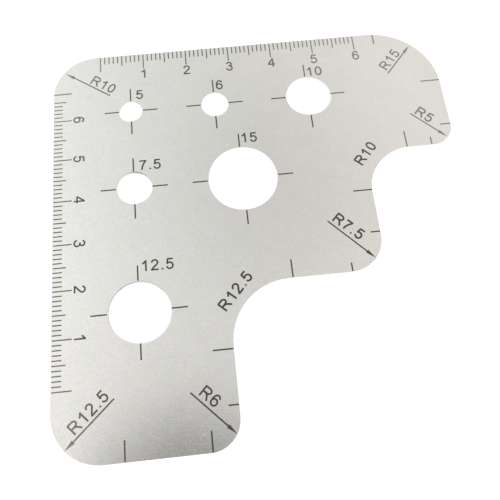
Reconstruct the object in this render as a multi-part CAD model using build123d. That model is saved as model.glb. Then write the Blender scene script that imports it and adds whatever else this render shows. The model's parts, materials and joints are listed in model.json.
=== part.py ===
from dataclasses import dataclass
from build123d import *
import os

# Radius gauge: one flat sheet of stainless steel. Its stepped outline is made of straight
# edges joined by arcs of known radius, outside corners and inside corners alike, and six
# round holes of known diameter go through it. Two millimetre rulers, the cross lines of
# the holes, the witness marks of the arcs and the arrows to them are etched in its face.
# Frame: X runs right along the top edge, Y up towards it, Z out of the etched face. The
# origin lies on the back face, under the middle of the outline's box.
# Places on the sheet are measured from its top left corner, rightwards and downwards.

# Sheet
thickness = 0.5
edge_break = 0.05

# Outline: a leg on the left, with a middle arm and a top arm stepping out to the right
leg_width = 35.7
middle_arm_reach = 33.0
top_arm_reach = 20.5
top_arm_height = 31.2
middle_arm_height = 27.5
leg_drop = 32.0

# Corner radii that the gauge offers. The foot's arc measures 10, though its marks are set out
# for an arc of 12.5.
top_left_radius = 10.0
top_right_radius = 15.0
top_arm_tip_radius = 5.0
upper_notch_radius = 10.0
middle_arm_tip_radius = 7.5
lower_notch_radius = 12.5
leg_tip_radius = 6.0
foot_radius = 10.0

# Hole diameters, and the rows and columns that their centres lie on
hole_5 = 5.0
hole_6 = 6.0
hole_10 = 10.0
hole_7_5 = 7.5
hole_15 = 15.0
hole_12_5 = 12.5
row_1 = 15.6
row_2 = 35.0
row_3 = 62.5
leg_column = 17.55
hole_6_column = 36.6
hole_10_column = 58.15
hole_15_column = 41.2

# Etched lines: how deep they are, how wide, and how near they come to an edge or a rim
etch_depth = 0.05
line_width = 0.3
tick_width = 0.26
tick_gap = 0.2
rim_gap = 0.2
witness_gap = 0.12

# Rulers: zeros, numbers of graduations, and how far each kind of tick reaches in from the edge
graduation = 1.0
top_ruler_zero = 10.85
top_ruler_count = 60
left_ruler_zero_above_foot = 14.0
left_ruler_count = 65
unit_tick = 2.1
five_tick = 2.9
ten_tick = 4.1

# Cross lines reach out from the rim of each hole
cross_line_reach = 3.5

# Arrows that point at the outside corners
arrow_head_length = 2.3
arrow_head_width = 0.8

# Overall size, and the places of the steps
middle_arm_end = leg_width + middle_arm_reach
total_width = middle_arm_end + top_arm_reach
middle_arm_foot = top_arm_height + middle_arm_height
total_height = middle_arm_foot + leg_drop


@dataclass
class Corner:
    """A corner of the outline before it is rounded.

    right and down, each 1 or -1, say on which side of the corner the sheet lies. At a notch
    the sheet's edges run the other way, towards the open side.
    """

    x: float
    y: float
    radius: float
    right: int
    down: int
    notch: bool = False

    def inside(self, across, depth):
        """The point that lies across and depth into the sheet from the corner."""
        return place(self.x + self.right * across, self.y + self.down * depth)

    def on_level_edge(self, along, depth):
        """The point that far along the corner's level edge, and depth into the sheet."""
        return self.inside(-along if self.notch else along, depth)

    def on_upright_edge(self, along, depth):
        """The point that far along the corner's upright edge, and depth into the sheet."""
        return self.inside(depth, -along if self.notch else along)


def place(x, y):
    """A point on the sheet, from its distances to the left edge and down from the top edge."""
    return (x - total_width / 2, total_height / 2 - y)


# Corners, clockwise from the top left
top_left = Corner(0, 0, top_left_radius, 1, 1)
top_right = Corner(total_width, 0, top_right_radius, -1, 1)
top_arm_tip = Corner(total_width, top_arm_height, top_arm_tip_radius, -1, -1)
upper_notch = Corner(middle_arm_end, top_arm_height, upper_notch_radius, -1, -1, notch=True)
middle_arm_tip = Corner(middle_arm_end, middle_arm_foot, middle_arm_tip_radius, -1, -1)
lower_notch = Corner(leg_width, middle_arm_foot, lower_notch_radius, -1, -1, notch=True)
leg_tip = Corner(leg_width, total_height, leg_tip_radius, -1, -1)
foot = Corner(0, total_height, foot_radius, 1, -1)
corners = [
    top_left, top_right, top_arm_tip, upper_notch, middle_arm_tip, lower_notch, leg_tip, foot
]

# Holes: diameter, and centre
holes = [
    (hole_5, leg_column, row_1),
    (hole_6, hole_6_column, row_1),
    (hole_10, hole_10_column, row_1),
    (hole_7_5, leg_column, row_2),
    (hole_15, hole_15_column, row_2),
    (hole_12_5, leg_column, row_3),
]

# Witness marks on level edges and on upright edges: the corner, how far past the end of its
# arc the mark stands, and how far in from the edge it reaches. The two zero ticks mark the arcs
# that they stand beside.
level_witnesses = [
    (top_right, -1.6, 2.8),
    (top_arm_tip, 0.35, 2.0),
    (upper_notch, -0.45, 4.0),
    (middle_arm_tip, -0.25, 2.0),
    (lower_notch, 0.9, 4.0),
    (leg_tip, -0.35, 4.0),
    (foot, 3.85, 4.0),
]
upright_witnesses = [
    (top_left, -0.5, 4.1),
    (top_right, -0.55, 4.5),
    (top_arm_tip, -0.05, 2.4),
    (upper_notch, -0.5, 4.2),
    (middle_arm_tip, 0.75, 2.1),
    (lower_notch, 0.65, 4.2),
    (leg_tip, 2.2, 2.1),
]

# Arrows: the corner, then the tail and the tip as distances across and down or up from it
arrows = [
    (top_left, (12.9, 10.9), (2.85, 3.9)),
    (top_right, (11.6, 11.5), (5.2, 4.3)),
    (top_arm_tip, (8.6, 8.4), (1.5, 1.65)),
    (middle_arm_tip, (10.75, 11.65), (2.0, 2.45)),
    (leg_tip, (9.1, 11.3), (0.85, 2.85)),
    (foot, (12.1, 11.7), (2.7, 3.1)),
]


def blank():
    """The cut sheet: the outline with its corner arcs, less the holes, drawn up to its thickness."""
    points = [place(corner.x, corner.y) for corner in corners]
    radii = [corner.radius for corner in corners]
    face = make_face(FilletPolyline(points, radius=radii, close=True))
    for diameter, x, y in holes:
        face -= Pos(*place(x, y)) * Circle(diameter / 2)
    return extrude(face, amount=thickness)


def break_edges(sheet):
    """A small chamfer round the outline and the holes, on both faces, as deburring leaves it."""
    rims = sheet.faces().filter_by(Axis.Z).edges()
    return chamfer(rims, length=min(edge_break, thickness / 4))


def line(start, end, width):
    """A straight mark of that width between two points."""
    run = Vector(*end) - Vector(*start)
    middle = Vector(*start) + run / 2
    return Plane(middle, x_dir=run, z_dir=(0, 0, 1)) * Rectangle(run.length, width)


def ruler_ticks(count, spot):
    """The ticks of a ruler. spot(travel, reach) gives the point that far along it and in from the edge."""
    marks = []
    for number in range(count + 1):
        reach = ten_tick if number % 10 == 0 else five_tick if number % 5 == 0 else unit_tick
        travel = number * graduation
        marks.append(line(spot(travel, tick_gap), spot(travel, reach), tick_width))
    return marks


def cross_lines(diameter, x, y):
    """Four lines round a hole, on its centre lines, from beside its rim outwards."""
    inner = diameter / 2 + rim_gap
    outer = diameter / 2 + cross_line_reach
    spokes = PolarLocations((inner + outer) / 2, 4) * Rectangle(outer - inner, line_width)
    return [Pos(*place(x, y)) * spoke for spoke in spokes]


def arrow(tail, tip):
    """A straight leader with a slim filled head, drawn along X and turned from tail to tip."""
    run = Vector(*tip) - Vector(*tail)
    half_line, half_head = line_width / 2, arrow_head_width / 2
    upper = [(-run.length, half_line), (-arrow_head_length, half_line), (-arrow_head_length, half_head)]
    lower = [(x, -y) for x, y in reversed(upper)]
    outline = make_face(Polyline(*upper, (0, 0), *lower, close=True))
    return Plane(tip, x_dir=run, z_dir=(0, 0, 1)) * outline


def etched_marks():
    """Every etched line and arrow, as flat faces."""
    marks = ruler_ticks(top_ruler_count, lambda travel, reach: place(top_ruler_zero + travel, reach))
    left_zero = total_height - left_ruler_zero_above_foot
    marks += ruler_ticks(left_ruler_count, lambda travel, reach: place(reach, left_zero - travel))
    for diameter, x, y in holes:
        marks += cross_lines(diameter, x, y)
    for corner, past, reach in level_witnesses:
        along = corner.radius + past
        start, end = corner.on_level_edge(along, witness_gap), corner.on_level_edge(along, reach)
        marks.append(line(start, end, line_width))
    for corner, past, reach in upright_witnesses:
        along = corner.radius + past
        start, end = corner.on_upright_edge(along, witness_gap), corner.on_upright_edge(along, reach)
        marks.append(line(start, end, line_width))
    marks += [arrow(corner.inside(*tail), corner.inside(*tip)) for corner, tail, tip in arrows]
    return marks


def etch(sheet):
    """The marks sunk into the top face."""
    floor = Pos(0, 0, thickness - etch_depth)
    return sheet - [extrude(floor * mark, amount=2 * etch_depth) for mark in etched_marks()]


gauge_plate = etch(break_edges(blank()))
gauge_plate.label = "gauge_plate"

os.makedirs("parts", exist_ok=True)
export_step(gauge_plate, "parts/gauge_plate.step")
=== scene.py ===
"""Looks of a radius gauge: one flat sheet of stainless steel with etched marks, lying on a pale floor."""

import json
from math import radians

import bmesh
import bpy
import numpy as np
from mathutils import Matrix, Vector


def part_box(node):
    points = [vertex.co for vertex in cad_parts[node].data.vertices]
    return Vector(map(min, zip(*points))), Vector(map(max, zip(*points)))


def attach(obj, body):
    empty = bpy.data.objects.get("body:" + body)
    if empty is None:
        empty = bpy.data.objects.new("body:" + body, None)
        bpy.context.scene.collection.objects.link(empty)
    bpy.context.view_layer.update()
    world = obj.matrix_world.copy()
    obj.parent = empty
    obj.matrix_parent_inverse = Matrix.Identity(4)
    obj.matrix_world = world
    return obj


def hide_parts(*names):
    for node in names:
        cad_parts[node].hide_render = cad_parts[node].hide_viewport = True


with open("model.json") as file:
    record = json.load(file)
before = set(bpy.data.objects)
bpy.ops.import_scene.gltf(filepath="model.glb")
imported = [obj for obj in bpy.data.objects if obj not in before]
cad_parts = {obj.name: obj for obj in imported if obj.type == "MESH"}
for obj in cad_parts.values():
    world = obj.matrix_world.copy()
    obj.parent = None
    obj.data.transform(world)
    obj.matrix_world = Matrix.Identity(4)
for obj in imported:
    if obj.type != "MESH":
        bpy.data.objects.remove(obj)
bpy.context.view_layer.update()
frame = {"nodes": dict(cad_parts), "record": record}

# Etched sheet
# The gauge is one sheet of cold rolled stainless steel, cut to its outline and deburred. Its
# rulers, lines and arrows are etched already, and here the numerals and radius labels are cut
# into the same face, to the same depth. Lengths are in millimetres until the sheet is finished.

millimetre = 0.001
etch_depth = 0.05
cap_height = 2.35
fine_stroke, bold_stroke = 0.36, 0.41
letter_gap = 0.17
point_width = 0.42
bow_step = 12  # degrees from point to point of a round stroke

sheet_low, sheet_high = (np.array(corner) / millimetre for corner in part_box("gauge_plate"))
face_level = sheet_high[2]


def straight(*points):
    """A stroke of straight runs through the points."""
    return np.array(points, float)


def bow(x, y, across, up, start, end):
    """A round stroke: its centre, plus across and up times the angle's cosine and sine, start to end."""
    angle = np.radians(np.linspace(start, end, 2 + int(abs(end - start) / bow_step)))
    return np.column_stack([x + across * np.cos(angle), y + up * np.sin(angle)])


def swept(*points):
    """A smooth stroke through the points: cubics that leave each point along its neighbours' chord."""
    knots = np.array(points, float)
    knots = np.vstack([2 * knots[0] - knots[1], knots, 2 * knots[-1] - knots[-2]])
    before, here, there, after = knots[:-3], knots[1:-2], knots[2:-1], knots[3:]
    t = np.linspace(0, 1, 6, endpoint=False)[:, None, None]
    bend = 2 * before - 5 * here + 4 * there - after
    twist = 3 * here - before - 3 * there + after
    run = here + ((there - before) * t + bend * t**2 + twist * t**3) / 2
    return np.vstack([run.transpose(1, 0, 2).reshape(-1, 2), knots[-2]])


# Glyphs as the centre lines of their strokes, in cap heights from the left end of the base line
strokes = {
    "0": [bow(0.387, 0.495, 0.266, 0.455, 0, 360)],
    "1": [straight((0.459, 0), (0.459, 1)), swept((0.15, 0.69), (0.25, 0.745), (0.34, 0.815), (0.43, 0.93))],
    "2": [
        np.vstack([
            bow(0.384, 0.715, 0.256, 0.238, 178, -20),
            swept((0.605, 0.6), (0.557, 0.534), (0.352, 0.34), (0.193, 0.186), (0.115, 0.075)),
        ]),
        straight((0.042, 0.06), (0.703, 0.06)),
    ],
    "3": [bow(0.375, 0.745, 0.229, 0.211, 172, -107), bow(0.379, 0.282, 0.272, 0.252, 105, -178)],
    "4": [
        straight((0.513, 0), (0.513, 1)),
        straight((0.018, 0.296), (0.709, 0.296)),
        straight((0.045, 0.305), (0.498, 0.952)),
    ],
    "5": [
        straight((0.177, 0.93), (0.674, 0.93)),
        straight((0.15, 0.49), (0.225, 0.95)),
        bow(0.385, 0.321, 0.271, 0.288, 148, -168),
    ],
    "6": [bow(0.385, 0.313, 0.265, 0.281, 0, 360), bow(0.4, 0.5, 0.29, 0.454, 190, 35)],
    "7": [
        straight((0.066, 0.93), (0.713, 0.93)),
        swept((0.665, 0.925), (0.508, 0.716), (0.409, 0.539), (0.334, 0.355), (0.29, 0.177), (0.269, 0)),
    ],
    "R": [
        straight((0.176, 0), (0.176, 1)),
        np.vstack([
            straight((0.176, 0.945)),
            bow(0.56, 0.723, 0.281, 0.222, 90, -90),
            straight((0.176, 0.501)),
        ]),
        swept((0.47, 0.49), (0.566, 0.447), (0.655, 0.382), (0.757, 0.246), (0.91, 0)),
    ],
    ".": [straight((0.197, 0), (0.197, 0.14))],
}
advances = {"R": 1.01, ".": 0.39}
digit_advance = 0.777


def bar(path, width, low, high):
    """A closed bar along a flat path: at each point a section half a width to each side, from low to high.

    The sides join each section to the next. A cap closes each end, or a ring joins up with itself.
    """
    ring = np.allclose(path[0], path[-1])
    heading = np.gradient(path, axis=0)
    if ring:
        heading[0] = heading[-1] = path[1] - path[-2]
    side = np.column_stack([-heading[:, 1], heading[:, 0]])
    side *= width / 2 / np.linalg.norm(side, axis=1)[:, None]
    section = [(side, low), (side, high), (-side, high), (-side, low)]
    points = np.stack([np.column_stack([path + s, np.full(len(path), z)]) for s, z in section], axis=1)
    if ring:
        points = points[:-1]
    count = len(points)
    row = np.arange(count if ring else count - 1)[:, None]
    column = np.arange(4)[None, :]
    following, beside = (row + 1) % count, (column + 1) % 4
    sides = np.stack(
        [4 * row + column, 4 * row + beside, 4 * following + beside, 4 * following + column], axis=-1
    ).reshape(-1, 4)
    caps = [] if ring else [[3, 2, 1, 0], [4 * count - 4, 4 * count - 3, 4 * count - 2, 4 * count - 1]]
    return points.reshape(-1, 3), [*sides.tolist(), *caps]


def lettering(text, start, turn, stroke_width=fine_stroke):
    """A text's strokes as bars.

    Each glyph is scaled to the cap height and moved past those before it. Then it is turned about
    the start of the base line, anticlockwise in degrees, and set there.
    """
    along = np.array([np.cos(np.radians(turn)), np.sin(np.radians(turn))])
    upward = np.array([-along[1], along[0]])
    travelled = 0
    bars = []
    for glyph in text:
        for stroke in strokes[glyph]:
            flat = stroke * cap_height + [travelled, 0]
            path = np.array(start) + flat[:, :1] * along + flat[:, 1:] * upward
            width = point_width if glyph == "." else stroke_width
            bars.append(bar(path, width, face_level - etch_depth, face_level + etch_depth))
        travelled += advances.get(glyph, digit_advance) * cap_height + letter_gap
    return bars


def spot(x, y):
    """A place on the sheet, from its distances to the left edge and down from the top edge."""
    return np.array([sheet_low[0] + x, sheet_high[1] - y])


# Labels of the holes: the hole, the text, and where its base line starts from the hole's centre
hole_labels = [
    ("hole_5", "5", 1.15, 3.15),
    ("hole_6", "6", 0.6, 3.9),
    ("hole_10", "10", 0.4, 5.35),
    ("hole_7_5", "7.5", 1.2, 4.2),
    ("hole_15", "15", 0.35, 8.7),
    ("hole_12_5", "12.5", 0.65, 8.35),
]
# Labels of the corners: the text, where its base line starts, its turn, and how wide its strokes are
corner_labels = [
    ("R10", 8.1, 6.9, -33.5, fine_stroke),
    ("R15", 77.35, 10.9, 48, fine_stroke),
    ("R5", 81.35, 22.7, -43.5, bold_stroke),
    ("R10", 67.4, 35.0, 48, bold_stroke),
    ("R7.5", 58.7, 46.85, -44.3, bold_stroke),
    ("R12.5", 34.75, 64.55, 48, bold_stroke),
    ("R6", 27.95, 79.75, -44.4, fine_stroke),
    ("R12.5", 4.55, 85.1, 43.6, fine_stroke),
]
# Rulers: where their zeros lie, and how far in the numerals' base lines are
centimetre = 10
top_ruler_zero, top_base_line = 10.9, 6.8
left_ruler_zero, left_base_line = 76.65, 4.55
ruler_numerals = range(1, 7)
half_digit = digit_advance * cap_height / 2

cutters = []
mounts = {mount["name"]: mount for mount in frame["record"]["mounts"]}
centres = {name: np.array(mount["pos_m"][:2]) / millimetre for name, mount in mounts.items()}
for hole, text, right, up in hole_labels:
    cutters += lettering(text, centres[hole] + [right, up], 0)
for text, x, y, turn, stroke_width in corner_labels:
    cutters += lettering(text, spot(x, y), turn, stroke_width)
for number in ruler_numerals:
    across = spot(top_ruler_zero + number * centimetre - half_digit, top_base_line)
    cutters += lettering(str(number), across, 0)
    down = spot(left_base_line, left_ruler_zero - number * centimetre - half_digit)
    cutters += lettering(str(number), down, -90)

starts = np.cumsum([0] + [len(points) for points, faces in cutters])
cutter_mesh = bpy.data.meshes.new("numeral_cutter")
cutter_mesh.from_pydata(
    np.vstack([points for points, faces in cutters]).tolist(),
    [],
    [
        [corner + int(start) for corner in face]
        for (points, faces), start in zip(cutters, starts)
        for face in faces
    ],
)
cutter = bpy.data.objects.new("numeral_cutter", cutter_mesh)
bpy.context.scene.collection.objects.link(cutter)

blank_mesh = bpy.data.meshes.new("etched_sheet")
blank = bmesh.new()
blank.from_mesh(frame["nodes"]["gauge_plate"].data)
blank.transform(Matrix.Scale(1 / millimetre, 4))
bmesh.ops.remove_doubles(blank, verts=blank.verts, dist=0.0001)
blank.to_mesh(blank_mesh)
blank.free()
sheet = bpy.data.objects.new("etched_sheet", blank_mesh)
bpy.context.scene.collection.objects.link(sheet)
engraving = sheet.modifiers.new("numerals", "BOOLEAN")
engraving.operation = "DIFFERENCE"
engraving.solver = "EXACT"
engraving.use_self = True
engraving.object = cutter
evaluated = sheet.evaluated_get(bpy.context.evaluated_depsgraph_get())
sheet_mesh = bpy.data.meshes.new_from_object(evaluated)
sheet.modifiers.clear()
sheet.data = sheet_mesh
sheet_mesh.name = "etched_sheet"
bpy.data.objects.remove(cutter)

# Etched faces are the floors and walls of the grooves, below the face but not on its broken
# edges. Cut faces are the walls of the outline and of the holes.
face_count = len(sheet_mesh.polygons)
middles = np.zeros(face_count * 3)
normals = np.zeros(face_count * 3)
sheet_mesh.polygons.foreach_get("center", middles)
sheet_mesh.polygons.foreach_get("normal", normals)
depths = face_level - middles.reshape(-1, 3)[:, 2]
tilts = normals.reshape(-1, 3)[:, 2]
upright, level, hair = 0.1, 0.9, 0.001
sloping = (tilts > upright) & (tilts < level)
etched = (depths > hair) & (depths < etch_depth + hair) & ~sloping
cut = (abs(tilts) < upright) & ~etched
sheet_mesh.materials.clear()
sheet_mesh.polygons.foreach_set("material_index", (etched + 2 * cut).astype(np.int32))
sheet_mesh.attributes.remove(sheet_mesh.attributes["custom_normal"])
sheet_mesh.transform(Matrix.Scale(millimetre, 4))
sheet_mesh.shade_smooth()
smooth_below = 20
sheet_mesh.set_sharp_from_angle(angle=radians(smooth_below))


def linear(code):
    """An sRGB hex colour as linear RGBA.

    Each part is ((c + 0.055) / 1.055) to the power 2.4, or c / 12.92 where it is near black.
    """
    c = np.array([int(code[i : i + 2], 16) for i in (1, 3, 5)]) / 255
    return (*np.where(c > 0.04045, ((c + 0.055) / 1.055) ** 2.4, c / 12.92).tolist(), 1)


def add(tree, kind, inputs=(), stops=(), **settings):
    """Adds one node. settings are its own properties, and stops a colour ramp's places and colours.

    inputs gives each socket its value or what feeds it: a socket, or a node by its first output in use.
    """
    node = tree.nodes.new(kind)
    for name, value in settings.items():
        setattr(node, name, value)
    for name, value in dict(inputs).items():
        if isinstance(value, bpy.types.Node):
            value = next(output for output in value.outputs if output.enabled)
        if isinstance(value, bpy.types.NodeSocket):
            tree.links.new(value, node.inputs[name])
        else:
            node.inputs[name].default_value = value
    for number, (place, colour) in enumerate(stops):
        ramp = node.color_ramp
        stop = ramp.elements[number] if number < 2 else ramp.elements.new(place)
        stop.position, stop.color = place, colour
    return node


def per_metre(size):
    """How often a pattern of that size in millimetres repeats in a metre."""
    return 1 / (size * millimetre)


def patch(tree, place, middle, end, full=0):
    """1 within the distance full of a spot on the face, and 0 beyond end, with a smooth fall between."""
    centre = Vector((*middle, face_level)) * millimetre
    away = add(tree, "ShaderNodeVectorMath", {0: place, 1: centre}, operation="DISTANCE")
    reach = {"From Min": full * millimetre, "From Max": end * millimetre, "To Min": 1, "To Max": 0}
    return add(
        tree, "ShaderNodeMapRange", {0: away.outputs["Value"], **reach}, interpolation_type="SMOOTHSTEP"
    )


def hairline(tree, place, x, y, length, turn):
    """1 on a scratch about that spot, 0 beside it. place is moved there, and X turned along it."""
    width = 0.2
    centre = Vector((*spot(x, y), face_level)) * millimetre
    along = add(
        tree,
        "ShaderNodeMapping",
        {0: place, "Location": centre, "Rotation": (0, 0, radians(turn)), "Scale": (length, width, 1)},
        vector_type="TEXTURE",
    )
    away = add(tree, "ShaderNodeVectorMath", {0: along}, operation="LENGTH")
    return add(
        tree,
        "ShaderNodeMapRange",
        {0: away.outputs["Value"], "From Max": millimetre / 2, "To Min": 1, "To Max": 0},
        interpolation_type="SMOOTHSTEP",
    )


def clock(radius, hour_angle):
    """How far right and up that distance goes, in the direction clockwise from straight up, in degrees."""
    return radius * np.array([np.sin(radians(hour_angle)), np.cos(radians(hour_angle))])


def satin_stainless_steel():
    """Cold rolled and annealed stainless sheet: silver grey and satin.

    Shallow ripples make its reflections uneven. It has a fine grain, faint rolling marks along the
    sheet, cloudy mottling, pale pinpoints and a few scratches. The real grain is about a tenth as
    large, and is drawn coarser so that it shows.
    """
    material = bpy.data.materials.new("satin_stainless_steel")
    material.use_nodes = True
    tree = material.node_tree
    shader = tree.nodes["Principled BSDF"]
    place = add(tree, "ShaderNodeTexCoord").outputs["Object"]

    rolled = add(tree, "ShaderNodeMapping", {0: place, "Scale": (0.03, 1, 1)})
    rolling_marks = add(tree, "ShaderNodeTexNoise", {0: rolled, "Scale": per_metre(0.25), "Detail": 3})
    grain = add(tree, "ShaderNodeTexNoise", {0: place, "Scale": per_metre(0.3), "Detail": 2})
    mottling = add(tree, "ShaderNodeTexNoise", {0: place, "Scale": per_metre(1.2), "Detail": 2})
    clouds = add(tree, "ShaderNodeTexNoise", {0: place, "Scale": per_metre(5), "Detail": 3})
    tint = add(tree, "ShaderNodeTexNoise", {0: place, "Scale": per_metre(4), "Detail": 2})

    # The grain shows more, the further it lies from the top right corner, down to the far end of the
    # leg. Grain and mottling show most along the lower edge.
    top_right = Vector((*sheet_high[:2], face_level)) * millimetre
    away = add(tree, "ShaderNodeVectorMath", {0: place, 1: top_right}, operation="DISTANCE")
    far_end = 120 * millimetre
    faint = add(
        tree,
        "ShaderNodeMapRange",
        {0: away.outputs["Value"], "From Max": far_end, "To Min": 0.02, "To Max": 0.28},
    )
    lower_edge = patch(tree, place, spot(25, 92), 14)
    added_there = 0.15
    grain_depth = add(
        tree, "ShaderNodeMath", {0: lower_edge, 1: added_there, 2: faint}, operation="MULTIPLY_ADD"
    )
    mottling_depth = add(
        tree, "ShaderNodeMath", {0: lower_edge, 1: added_there, 2: 0.06}, operation="MULTIPLY_ADD"
    )

    # Each pattern swings the brightness to both sides of its middle, by its depth
    brightness = 0.97
    for noise, depth in (
        (grain, grain_depth),
        (mottling, mottling_depth),
        (rolling_marks, 0.03),
        (clouds, 0.06),
    ):
        swing = add(tree, "ShaderNodeMath", {0: noise, 1: 0.5}, operation="SUBTRACT")
        brightness = add(
            tree, "ShaderNodeMath", {0: swing, 1: depth, 2: brightness}, operation="MULTIPLY_ADD"
        )
    # Pinpoints, and at the end a darker place at the foot: the place, the radius, and how much
    # brighter it is
    marks = [
        (patch(tree, place, spot(x, y), radius), gain)
        for x, y, radius, gain in [
            (19.5, 49.55, 0.45, 0.16),
            (24.9, 20.9, 0.4, 0.07),
            (10.3, 47.4, 0.4, 0.07),
            (25.4, 21.9, 0.35, 0.05),
            (18.6, 43.2, 0.35, 0.05),
            (8.2, 83.7, 0.4, 0.06),
            (12.8, 27.8, 0.35, 0.05),
            (28.7, 87.2, 0.45, 0.2),
            (29.1, 63.9, 0.3, -0.1),
            (11.5, 91, 9, -0.08),
        ]
    ]
    # Scratches: the middle, the length, the turn, and how much brighter
    marks += [
        (hairline(tree, place, x, y, length, turn), gain)
        for x, y, length, turn, gain in [
            (28.2, 88.9, 2.2, 12, 0.22),
            (26.0, 88.2, 1.6, 35, 0.1),
            (62.5, 44.2, 5.0, -12, -0.04),
            (22.1, 58.2, 0.8, -45, -0.5),
            (60.8, 11.2, 3.0, -30, -0.06),
        ]
    ]
    for factor, gain in marks:
        brightness = add(
            tree, "ShaderNodeMath", {0: factor, 1: gain, 2: brightness}, operation="MULTIPLY_ADD"
        )
    colour = add(
        tree,
        "ShaderNodeValToRGB",
        {0: tint},
        stops=[(0.3, linear("#cdcdc6")), (0.7, linear("#cfccc8"))],
    )
    colour = add(
        tree, "ShaderNodeVectorMath", {0: colour, "Scale": brightness.outputs[0]}, operation="SCALE"
    )
    # The cutting rolled over one side of each small rim, which catches the light there: a painted
    # highlight, pale. Two upper rims face away from the light and get painted shade, dark. Each such
    # crescent lies between the rim and a circle moved sideways: the hole, how far past the rim that
    # circle would reach, how far it is moved, in which clock direction, and its colour
    soft_edge = 0.1
    for hole, past, moved, hour_angle, code in [
        ("hole_5", -0.08, 0.42, 222, "#e9e8e7"),
        ("hole_6", 0.1, 0.27, 160, "#e9e8e7"),
        ("hole_10", -0.12, 0.5, 108, "#e9e8e7"),
        ("hole_7_5", -0.25, 0.48, 108, "#e9e8e7"),
        ("hole_7_5", -0.25, 0.42, 12, "#908e8a"),
        ("hole_12_5", -0.08, 0.5, 128, "#e9e8e7"),
        ("hole_12_5", -0.15, 0.25, 5, "#b6b4b0"),
    ]:
        middle = centres[hole] + clock(moved, hour_angle)
        circle = mounts[hole]["dims"]["r_mm"] + past
        # Pale crescents are painted highlights on the rims, dark ones painted shade
        painted_rim_light = patch(tree, place, middle, circle + soft_edge, circle - soft_edge)
        colour = add(
            tree,
            "ShaderNodeMix",
            {"Factor": painted_rim_light, "A": colour, "B": linear(code)},
            data_type="RGBA",
        )
    ripple_height = 0.004 * millimetre
    ripples = add(tree, "ShaderNodeBump", {"Height": grain, "Distance": ripple_height, "Strength": 1})
    tree.links.new(ripples.outputs[0], shader.inputs["Normal"])
    tree.links.new(colour.outputs["Result"], shader.inputs["Base Color"])
    shader.inputs["Metallic"].default_value = 1
    shader.inputs["Roughness"].default_value = 0.22
    return material


def etched_oxide():
    """Marks burnt into stainless steel: a matt brown-grey oxide.

    It is nearly black about the lower middle of the sheet, and paler towards the corners.
    """
    material = bpy.data.materials.new("etched_oxide")
    material.use_nodes = True
    tree = material.node_tree
    shader = tree.nodes["Principled BSDF"]
    place = add(tree, "ShaderNodeTexCoord").outputs["Object"]
    darkest = Vector((*spot(45, 65.5), face_level)) * millimetre
    oval = add(
        tree,
        "ShaderNodeMapping",
        {0: place, "Location": darkest, "Rotation": (0, 0, radians(16)), "Scale": (1, 1.56, 1)},
        vector_type="TEXTURE",
    )
    away = add(tree, "ShaderNodeVectorMath", {0: oval}, operation="LENGTH")
    palest = 80 * millimetre
    reach = add(tree, "ShaderNodeMapRange", {0: away.outputs["Value"], "From Max": palest})
    burn = add(tree, "ShaderNodeTexNoise", {0: place, "Scale": per_metre(0.6), "Detail": 2})
    swing = 0.15
    uneven = add(tree, "ShaderNodeMath", {0: burn, 1: swing, 2: reach}, operation="MULTIPLY_ADD")
    level = add(tree, "ShaderNodeMath", {0: uneven, 1: swing / 2}, operation="SUBTRACT")
    oxide = add(
        tree,
        "ShaderNodeValToRGB",
        {0: level},
        stops=[
            (0.25, linear("#353127")),
            (0.725, linear("#7e7b70")),
            (0.375, linear("#3b372d")),
            (0.455, linear("#454237")),
            (0.505, linear("#545146")),
            (0.545, linear("#696659")),
            (0.59, linear("#78756a")),
        ],
    )
    tree.links.new(oxide.outputs[0], shader.inputs["Base Color"])
    shader.inputs["Roughness"].default_value = 0.6
    return material


def cut_wall():
    """Sheared walls of the outline and of the largest hole, bright and nearly white.

    The other holes' walls carry painted shade, each its own amount, and are darker still in a few places.
    """
    material = bpy.data.materials.new("cut_wall")
    material.use_nodes = True
    tree = material.node_tree
    shader = tree.nodes["Principled BSDF"]
    place = add(tree, "ShaderNodeTexCoord").outputs["Object"]
    # How much painted shade each hole's wall gets, and the darker places: where they are, and how large
    painted_shade_and_dark_places = 0
    for hole, painted_shade in [
        ("hole_5", 0.05),
        ("hole_6", 0.05),
        ("hole_10", 0.1),
        ("hole_7_5", 0.15),
        ("hole_12_5", 0.5),
    ]:
        radius = mounts[hole]["dims"]["r_mm"]
        # painted shade on this hole's wall, by its share
        near = patch(tree, place, centres[hole], radius + 1, radius + 0.5)
        painted_shade_and_dark_places = add(
            tree, "ShaderNodeMath", {0: near, 1: painted_shade, 2: painted_shade_and_dark_places}, operation="MULTIPLY_ADD"
        )
    darker_by = 0.4
    for x, y, radius in [(18.6, 31.4, 1.7), (14.0, 57.3, 1.4), (22.1, 58.2, 0.8)]:
        dark_place = patch(tree, place, spot(x, y), radius)
        painted_shade_and_dark_places = add(tree, "ShaderNodeMath", {0: dark_place, 1: darker_by, 2: painted_shade_and_dark_places}, operation="MULTIPLY_ADD")
    colour = add(
        tree,
        "ShaderNodeValToRGB",
        {0: painted_shade_and_dark_places},
        stops=[(0, linear("#f4f3f0")), (1, linear("#6e6a64")), (0.5, linear("#b4b2ae"))],
    )
    tree.links.new(colour.outputs[0], shader.inputs["Base Color"])
    shader.inputs["Metallic"].default_value = 1
    shader.inputs["Roughness"].default_value = 0.4
    return material


sheet_mesh.materials.append(satin_stainless_steel())
sheet_mesh.materials.append(etched_oxide())
sheet_mesh.materials.append(cut_wall())
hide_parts("gauge_plate")
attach(sheet, "root")

# Floor
# A wide sheet of white card that the gauge lies on, a hair below its back so that the two faces
# stay apart. It isn't part of the gauge. It is matt, and it is brighter to the camera, and in the
# steel, than the light makes it, so that it shows white.

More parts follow.
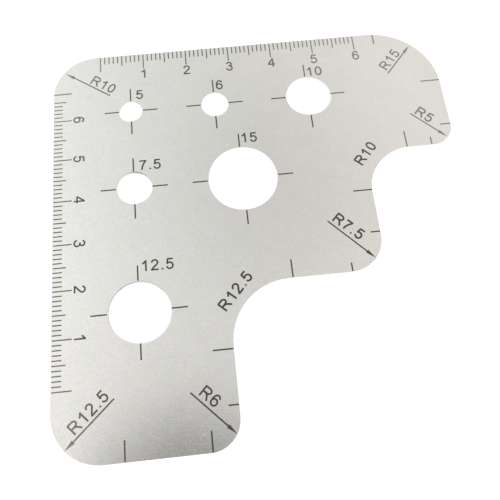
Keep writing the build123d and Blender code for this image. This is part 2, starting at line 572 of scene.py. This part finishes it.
floor_reach = 4  # metres
floor_gap = 0.01
floor_lift = 0.3
floor_mesh = bpy.data.meshes.new("floor")
floor_level = (sheet_low[2] - floor_gap) * millimetre
corners = [(-1, -1), (1, -1), (1, 1), (-1, 1)]
floor_points = [(x * floor_reach, y * floor_reach, floor_level) for x, y in corners]
floor_mesh.from_pydata(floor_points, [], [[0, 1, 2, 3]])
floor = bpy.data.objects.new("floor", floor_mesh)
bpy.context.scene.collection.objects.link(floor)
card = bpy.data.materials.new("white_card")
card.use_nodes = True
tree = card.node_tree
shader = tree.nodes["Principled BSDF"]
shader.inputs["Base Color"].default_value = linear("#f2f2f2")
shader.inputs["Roughness"].default_value = 0.9
shader.inputs["Specular IOR Level"].default_value = 0
sight = add(tree, "ShaderNodeLightPath")
seen = sight.outputs["Is Camera Ray"]
for ray in ("Is Glossy Ray", "Is Transmission Ray"):
    seen = add(tree, "ShaderNodeMath", {0: seen, 1: sight.outputs[ray]}, operation="MAXIMUM")
lift = add(tree, "ShaderNodeMath", {0: seen, 1: floor_lift}, operation="MULTIPLY")
shader.inputs["Emission Color"].default_value = linear("#ffffff")
tree.links.new(lift.outputs[0], shader.inputs["Emission Strength"])
floor_mesh.materials.append(card)

# Light
# A white tent round the gauge gives even soft light. Its panel on the left is the brightest, and it
# is dark right above the lower edge, where the tent is open.

world = bpy.data.worlds.new("light_tent")
bpy.context.scene.world = world
world.use_nodes = True
tree = world.node_tree
background = tree.nodes["Background"]
direction = add(tree, "ShaderNodeTexCoord").outputs["Generated"]
across = add(tree, "ShaderNodeSeparateXYZ", {0: direction})
spread = add(tree, "ShaderNodeMapRange", {0: across.outputs["X"], "From Min": -1, "From Max": 1})


def warm(level, red, blue):
    """A grey of that brightness with its red and blue scaled."""
    return (level * red, level, level * blue, 1)


tent = add(
    tree,
    "ShaderNodeValToRGB",
    {0: spread},
    stops=[
        (0.0, warm(0.95, 0.99, 1.01)),
        (1.0, warm(1.0, 1.01, 1.0)),
        (0.14, warm(1.05, 0.98, 1.015)),
        (0.25, warm(1.6, 0.97, 1.02)),
        (0.35, warm(1.53, 0.97, 1.02)),
        (0.4, warm(1.29, 0.975, 1.015)),
        (0.45, warm(1.165, 0.98, 1.01)),
        (0.5, warm(1.1, 0.99, 1.005)),
        (0.55, warm(1.085, 1.005, 1.0)),
        (0.6, warm(1.18, 1.015, 1.0)),
        (0.65, warm(1.23, 1.02, 0.995)),
        (0.75, warm(1.2, 1.02, 1.0)),
        (0.85, warm(1.05, 1.01, 1.0)),
    ],
)
# Uneven places in the tent: the middle's direction, how far from it they are at their full and
# where they end, and the colour that multiplies the tent's there
light = tent
for middle, inner, outer, colour in [
    ((-0.108, -0.06, 0.992), 0.1, 0.16, (0, 0, 0)),
    ((0.106, 0.445, 0.89), 0.08, 0.26, (0.87, 0.87, 0.875)),
    ((0.05, 0.66, 0.75), 0.05, 0.2, (1.05, 1.05, 1.05)),
    ((-0.27, 0.06, 0.96), 0.08, 0.33, (1.02, 0.981, 0.983)),
    ((0.01, 0.556, 0.831), 0.04, 0.15, (0.975, 0.98, 0.98)),
    ((0.242, 0.524, 0.816), 0.05, 0.2, (1.035, 1.04, 1.045)),
    ((-0.202, 0.474, 0.857), 0.04, 0.14, (0.97, 0.975, 0.975)),
    ((0.173, 0.381, 0.908), 0.06, 0.18, (0.985, 0.962, 0.955)),
    ((-0.134, 0.384, 0.913), 0.04, 0.15, (0.97, 0.97, 0.97)),
]:
    away = add(tree, "ShaderNodeVectorMath", {0: direction, 1: middle}, operation="DISTANCE")
    amount = add(
        tree,
        "ShaderNodeMapRange",
        {0: away.outputs["Value"], "From Min": inner, "From Max": outer, "To Min": 1, "To Max": 0},
        interpolation_type="SMOOTHERSTEP",
    )
    factor = add(
        tree, "ShaderNodeMix", {"Factor": amount, "A": (1, 1, 1), "B": colour}, data_type="VECTOR"
    )
    light = add(
        tree, "ShaderNodeVectorMath", {0: light, 1: factor.outputs["Result"]}, operation="MULTIPLY"
    )
sight = add(tree, "ShaderNodeLightPath")
shown = add(
    tree,
    "ShaderNodeMix",
    {"Factor": sight.outputs["Is Camera Ray"], "A": light.outputs[0], "B": (1, 1, 1)},
    data_type="VECTOR",
)
tree.links.new(shown.outputs["Result"], background.inputs["Color"])
background.inputs["Strength"].default_value = 1

# Camera
# The photograph looks down on the gauge from the front, a little from its left.

azimuth, elevation, roll = radians(-6.12), radians(70.1), radians(0.12)
aim = Vector((*spot(40.94, 51.81), face_level)) * millimetre
distance = 119.75 * millimetre
lens = bpy.data.cameras.new("camera")
lens.lens = 41.5
lens.clip_start = distance / 100
lens.clip_end = floor_reach * 4
camera = bpy.data.objects.new("camera", lens)
turned = Matrix.Rotation(azimuth, 4, "Z") @ Matrix.Rotation(radians(90) - elevation, 4, "X")
camera.matrix_world = Matrix.Translation(aim) @ turned @ Matrix.Rotation(roll, 4, "Z") @ Matrix.Translation(
    (0, 0, distance)
)
bpy.context.scene.collection.objects.link(camera)
bpy.context.scene.camera = camera
bpy.context.scene.view_settings.view_transform = "Standard"
